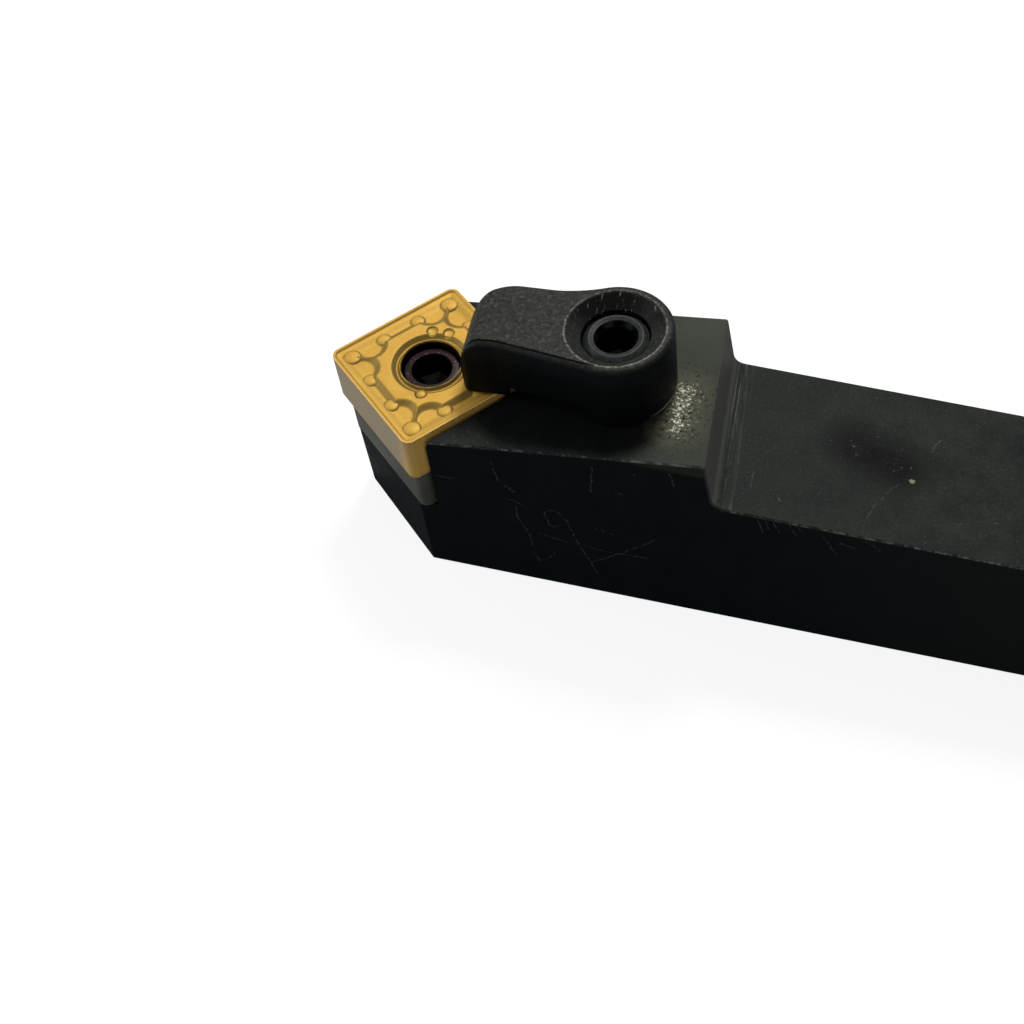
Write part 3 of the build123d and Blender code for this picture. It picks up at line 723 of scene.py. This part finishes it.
count = len(station)
top_near, top_far = skin[-1, :count, :2], skin[-1, count:2 * count][::-1, :2]
low_near, low_far = skin[0, :count, :2], skin[0, count:2 * count][::-1, :2]
patches, tops = [skin], [skin_top]
dish_share = np.linspace(0, 1, 9)[:, None, None]
for edge, way in ((top_near, -1), (top_far, 1)):
    rim = middle_line(rounding[0] + FOLD_WIDTH, rounding[-1] + FOLD_WIDTH, DISH, way)
    hole = middle_line(rounding[0] + FOLD_WIDTH, rounding[-1] + FOLD_WIDTH, HOLE, way)
    patches.append(half_face(edge, rim, top_height))
    dish = rim + dish_share * (hole - rim)
    across = np.clip(np.linalg.norm(dish, axis=-1), HOLE, DISH)
    drop = DISH_DEPTH * (DISH - across) / (DISH - HOLE)
    patches.append(at_height(dish, top_height(dish[..., 0]) - drop))
    tops += [1, 0.6]
for edge, way in ((low_near, -1), (low_far, 1)):
    patches.append(half_face(edge, middle_line(LOW_ROUND, LOW_ROUND, HOLE, way), lambda u: floor_height))
inside = np.abs(station) <= HOLE + 1e-9
for way in (-1, 1):
    hole = middle_line(0, 0, HOLE, way)[inside]
    down = np.linspace(0, 1, 5)[:, None]
    height = (CLAMP_TOP - DISH_DEPTH) * (1 - down) + floor_height[inside] * down
    patches.append(at_height(np.stack([hole] * 5), height))
tops += [0] * 4

# Black oxide over a cast skin: the casting's grain is about 0.3 mm across. The top is brown-grey, partly worn
# and partly painted light, and the sides near black as painted shade. The rim of the dish is worn to bare
# steel with a painted highlight, the fold is painted black as shade, and the low sides are dark with oil and
# painted shade.
cast, tree, metres = new_material("black_oxide_on_cast_steel")
place = add(tree, "VectorMath", {0: metres, "Scale": 1000.0}, operation="SCALE").outputs["Vector"]
local = add(tree, "VectorMath", {0: place, 1: SCREW_CENTRE}, operation="SUBTRACT").outputs["Vector"]
u = add(tree, "VectorMath", {0: local, 1: CLAMP_AXES[0]}, operation="DOT_PRODUCT").outputs["Value"]
w = add(tree, "VectorMath", {0: local, 1: CLAMP_AXES[2]}, operation="DOT_PRODUCT").outputs["Value"]
v = add(tree, "SeparateXYZ", {0: place}).outputs["Y"]
across = add(tree, "CombineXYZ", {"X": u, "Y": v}).outputs[0]
radius = add(tree, "VectorMath", {0: across}, operation="LENGTH").outputs["Value"]
topside = add(tree, "Attribute", attribute_name="top").outputs["Fac"]
fold_mark = add(tree, "Attribute", attribute_name="fold").outputs["Fac"]
grain = add(tree, "TexNoise", {"Vector": place, "Scale": 3.2, "Detail": 4.0, "Roughness": 0.65}).outputs[0]
cloud = add(tree, "TexNoise", {"Vector": place, "Scale": 0.5, "Detail": 4.0, "Roughness": 0.6}).outputs[0]
# The sides are near black as painted shade; the top is brown-grey, partly worn and partly painted light.
colour = add(tree, "Mix", {"Factor": cloud, 6: linear("0B0E10"), 7: linear("14171A")},
             data_type="RGBA").outputs[2]
crown = add(tree, "Mix", {"Factor": cloud, 6: linear("1E201E"), 7: linear("32332D")},
            data_type="RGBA").outputs[2]
colour = add(tree, "Mix", {"Factor": topside, 6: colour, 7: crown}, data_type="RGBA").outputs[2]
# Low on the sides the colour goes near black: oil and painted shade.
oily = add(tree, "MapRange", {"Value": w, "From Min": 5.4, "From Max": 4.4, "To Max": 0.85}).outputs[0]
bare = add(tree, "Math", {0: 1.0, 1: topside}, operation="SUBTRACT").outputs[0]
oily = add(tree, "Math", {0: oily, 1: bare}, operation="MULTIPLY").outputs[0]
colour = add(tree, "Mix", {"Factor": oily, 6: colour, 7: linear("060808")}, data_type="RGBA").outputs[2]
fleck = add(tree, "MapRange", {"Value": grain, "From Min": 0.54, "From Max": 0.74, "To Max": 0.8}).outputs[0]
fleck = add(tree, "Math", {0: fleck, 1: topside}, operation="MULTIPLY").outputs[0]
colour = add(tree, "Mix", {"Factor": fleck, 6: colour, 7: linear("52534C")}, data_type="RGBA").outputs[2]
pit = add(tree, "MapRange", {"Value": grain, "From Min": 0.46, "From Max": 0.3, "To Max": 0.9}).outputs[0]
colour = add(tree, "Mix", {"Factor": pit, 6: colour, 7: linear("0C0E0D")}, data_type="RGBA").outputs[2]

# The far wall of the dish is painted near black as shade, with pale streaks on it painted as glints of oil:
# the noise is drawn out towards the hole.
dish = add(tree, "MapRange", {"Value": radius, "From Min": 4.0, "From Max": 3.9}).outputs[0]
far_wall = add(tree, "MapRange", {"Value": v, "From Min": 0.2, "From Max": 1.8, "To Max": 0.97}).outputs[0]
far_wall = add(tree, "Math", {0: far_wall, 1: dish}, operation="MULTIPLY").outputs[0]
colour = add(tree, "Mix", {"Factor": far_wall, 6: colour, 7: linear("050606")}, data_type="RGBA").outputs[2]
drawn = add(tree, "VectorMath", {0: place, 1: (3.5, 0.7, 0.7)}, operation="MULTIPLY").outputs["Vector"]
streak = add(tree, "TexNoise", {"Vector": drawn, "Scale": 1.4, "Detail": 4.0, "Roughness": 0.75}).outputs[0]
streak = add(tree, "MapRange", {"Value": streak, "From Min": 0.6, "From Max": 0.68}).outputs[0]
streak = add(tree, "Math", {0: streak, 1: far_wall}, operation="MULTIPLY").outputs[0]
colour = add(tree, "Mix", {"Factor": streak, 6: colour, 7: linear("6E716C")}, data_type="RGBA").outputs[2]

# Bare steel: a broken line on the dish's rim, with a painted highlight that is brighter on the near side. A
# thin line on the boss's lower edge at the back is a painted highlight.
rim = add(tree, "Math", {0: radius, 1: DISH + 0.04}, operation="SUBTRACT").outputs[0]
rim = add(tree, "Math", {0: rim}, operation="ABSOLUTE").outputs[0]
rim = add(tree, "MapRange", {"Value": rim, "From Min": 0.13, "From Max": 0.03}).outputs[0]
high = add(tree, "MapRange", {"Value": w, "From Min": 6.3, "From Max": 6.5}).outputs[0]
rim = add(tree, "Math", {0: rim, 1: high}, operation="MULTIPLY").outputs[0]
rubbed = add(tree, "MapRange",
             {"Value": grain, "From Min": 0.4, "From Max": 0.6, "To Min": 0.1, "To Max": 0.9}).outputs[0]
nearer = add(tree, "MapRange", {"Value": v, "From Min": 3.0, "From Max": -2.0, "To Min": 0.45}).outputs[0]
rubbed = add(tree, "Math", {0: rubbed, 1: nearer}, operation="MULTIPLY").outputs[0]
rim = add(tree, "Math", {0: rim, 1: rubbed}, operation="MULTIPLY").outputs[0]
colour = add(tree, "Mix", {"Factor": rim, 6: colour, 7: linear("7C7E78")}, data_type="RGBA").outputs[2]
foot = add(tree, "Math", {0: w, 1: 0.34}, operation="SUBTRACT").outputs[0]
foot = add(tree, "Math", {0: foot}, operation="ABSOLUTE").outputs[0]
foot = add(tree, "MapRange", {"Value": foot, "From Min": 0.1, "From Max": 0.04}).outputs[0]
back = add(tree, "MapRange", {"Value": u, "From Min": 3.0, "From Max": 4.2}).outputs[0]
foot = add(tree, "Math", {0: foot, 1: back}, operation="MULTIPLY").outputs[0]
colour = add(tree, "Mix", {"Factor": foot, 6: colour, 7: linear("A0A29E")}, data_type="RGBA").outputs[2]
# The fold is painted near black as shade.
colour = add(tree, "Mix", {"Factor": fold_mark, 6: colour, 7: linear("050606")}, data_type="RGBA").outputs[2]
bump = add(tree, "Bump", {"Height": grain, "Strength": 0.6, "Distance": 0.0001}).outputs[0]
shader = add(tree, "BsdfPrincipled",
             {"Base Color": colour, "Roughness": 0.4, "Specular IOR Level": 0.05, "Normal": bump})
add(tree, "OutputMaterial", {"Surface": shader.outputs["BSDF"]})

# The fold attribute carries where the fold's painted shade goes.
clamp = surface("clamp_cast", [SCREW_CENTRE + grid @ CLAMP_AXES for grid in patches], cast, sharp=38,
                fold=[skin_fold] + [0] * (len(patches) - 1), top=tops)
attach(clamp, "clamp")
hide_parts("clamp")


# Clamp screw
# Double-ended screw, turned and blackened. Its upper thread is left-hand and works in the clamp,
# its lower thread right-hand and works in the head, so that one turn moves the clamp twice.
screw_steel, tree, metres = new_material("black_oxide_on_screw_steel")
cloud = add(tree, "TexNoise", {"Vector": metres, "Scale": 1800.0, "Detail": 4.0, "Roughness": 0.6}).outputs[0]
tone = add(tree, "MapRange", {"Value": cloud, "From Min": 0.35, "From Max": 0.65}).outputs[0]
colour = add(tree, "Mix", {"Factor": tone, 6: linear("161818"), 7: linear("2E3030")},
             data_type="RGBA").outputs[2]
deep = add(tree, "Attribute", attribute_name="deep").outputs["Fac"]
colour = add(tree, "Mix", {"Factor": deep, 6: colour, 7: linear("030404")}, data_type="RGBA").outputs[2]
worn = add(tree, "Attribute", attribute_name="worn").outputs["Fac"]
colour = add(tree, "Mix", {"Factor": worn, 6: colour, 7: linear("343634")}, data_type="RGBA").outputs[2]
bump = add(tree, "Bump", {"Height": cloud, "Strength": 0.2, "Distance": 0.00003}).outputs[0]
shader = add(tree, "BsdfPrincipled",
             {"Base Color": colour, "Roughness": 0.4, "Specular IOR Level": 0.1, "Normal": bump})
add(tree, "OutputMaterial", {"Surface": shader.outputs["BSDF"]})

SCREW_TOP = 5.7
SCREW_LENGTH = 17.0
SCREW_LOW = SCREW_TOP - SCREW_LENGTH
SCREW_THREAD = 2.76
SCREW_PITCH = 1.0
rows = socket_end(SCREW_TOP - 0.1, 1.8, KEY, 3.4, 1)
rows += [(1.86, SCREW_TOP - 0.08), (2.1, SCREW_TOP - 0.02), (2.14, SCREW_TOP), (2.22, SCREW_TOP)]
rows += [(2.28, SCREW_TOP - 0.03), (2.7, SCREW_TOP - 0.42)]
for start, end, hand in ((SCREW_TOP - 0.5, 0.4, 1), (-1.2, SCREW_LOW + 0.5, -1)):
    rows += thread(SCREW_THREAD, 0.2, SCREW_PITCH, hand, np.arange(start, end, -0.1))
    rows += [(2.45, end - 0.1), (2.45, end - 0.4)]
rows = rows[:-2] + [(2.6, SCREW_LOW + 0.3), (2.26, SCREW_LOW), (2.2, SCREW_LOW)]
rows += socket_end(SCREW_LOW, 1.85, KEY, 3.5, -1)[::-1]
# The first five rows are the socket, painted black as shade; the rim round its mouth is worn to grey.
order = np.arange(len(rows))[:, None]
clamp_screw = surface("clamp_screw_threaded", [turned(rows, CLAMP_AXES, SCREW_CENTRE)], screw_steel, sharp=30,
                      deep=[order < 5], worn=[(order == 7) | (order == 8)])
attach(clamp_screw, "clamp_screw")
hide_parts("clamp_screw")


# Table, light and camera
# A white sheet under the tool. Camera rays see it as near white paper with the tool's shadow, as
# white as the sky far away; its own colour is what it sends back on to the tool.
paper, tree, metres = new_material("white_paper")
ray = add(tree, "LightPath")
lit = add(tree, "BsdfDiffuse", {"Color": (0.3, 0.3, 0.3, 1)})
far = add(tree, "VectorMath", {0: metres}, operation="LENGTH").outputs["Value"]
level = add(tree, "MapRange", {"Value": far, "From Min": 0.15, "From Max": 0.6, "To Min": 0.86}).outputs[0]
glow = add(tree, "Emission", {"Color": (1, 1, 1, 1), "Strength": level})
dim = add(tree, "BsdfDiffuse", {"Color": (0.2, 0.2, 0.2, 1)})
seen = add(tree, "AddShader", {0: dim.outputs[0], 1: glow.outputs[0]})
pick = add(tree, "MixShader", {0: ray.outputs["Is Camera Ray"], 1: lit.outputs[0], 2: seen.outputs[0]})
add(tree, "OutputMaterial", {"Surface": pick.outputs[0]})
floor_mesh = bpy.data.meshes.new("floor")
floor_mesh.from_pydata([(-2, -2, 0), (2, -2, 0), (2, 2, 0), (-2, 2, 0)], [], [(0, 1, 2, 3)])
floor_mesh.materials.append(paper)
floor = bpy.data.objects.new("floor", floor_mesh)
bpy.context.collection.objects.link(floor)
floor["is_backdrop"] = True

world = bpy.data.worlds.new("studio")
bpy.context.scene.world = world
world.use_nodes = True
tree = world.node_tree
tree.nodes.clear()
ray = add(tree, "LightPath")
seen = add(tree, "Math", {0: ray.outputs["Is Camera Ray"], 1: ray.outputs["Is Glossy Ray"]},
           operation="MAXIMUM")
strength = add(tree, "Mix", {"Factor": seen.outputs[0], 2: 0.3, 3: 1.0}, data_type="FLOAT")
sky = add(tree, "Background", {"Color": (1, 1, 1, 1), "Strength": strength.outputs[0]})
add(tree, "OutputWorld", {"Surface": sky.outputs[0]})


def softbox(name, place, aim, size, power):
    """Adds a square area lamp at a place in metres, turned towards a point."""
    lamp = bpy.data.lights.new(name, "AREA")
    lamp.size = size
    lamp.energy = power
    made = bpy.data.objects.new(name, lamp)
    made.location = place
    away = np.subtract(place, aim)
    away /= np.linalg.norm(away)
    side = np.cross((0, 1, 0), away)
    side /= np.linalg.norm(side)
    made.rotation_euler = Matrix(np.column_stack([side, np.cross(away, side), away]).tolist()).to_euler()
    bpy.context.collection.objects.link(made)


# One softbox over the tool and behind it, so the tops are lit and the near side is in shade, and
# a weaker one beyond the tip for the flanks.
softbox("key", (-0.035, 0.17, 0.29), (-0.02, 0, 0.01), 0.09, 0.85)
softbox("fill", (-0.35, -0.03, 0.12), (-0.045, 0, 0.012), 0.15, 0.58)

# The camera stands where the photograph's did, turned by these degrees about X, Y and Z.
camera = bpy.data.objects.new("camera", bpy.data.cameras.new("camera"))
camera.data.sensor_width = 36.0
camera.data.lens = 52.92
camera.location = (-0.02361925, -0.07958986, 0.11615346)
camera.rotation_euler = np.radians((34.04089, -3.01854, 11.44016))
camera.data.clip_start = 0.005
bpy.context.collection.objects.link(camera)
bpy.context.scene.camera = camera
bpy.context.scene.view_settings.view_transform = "Standard"

low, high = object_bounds()
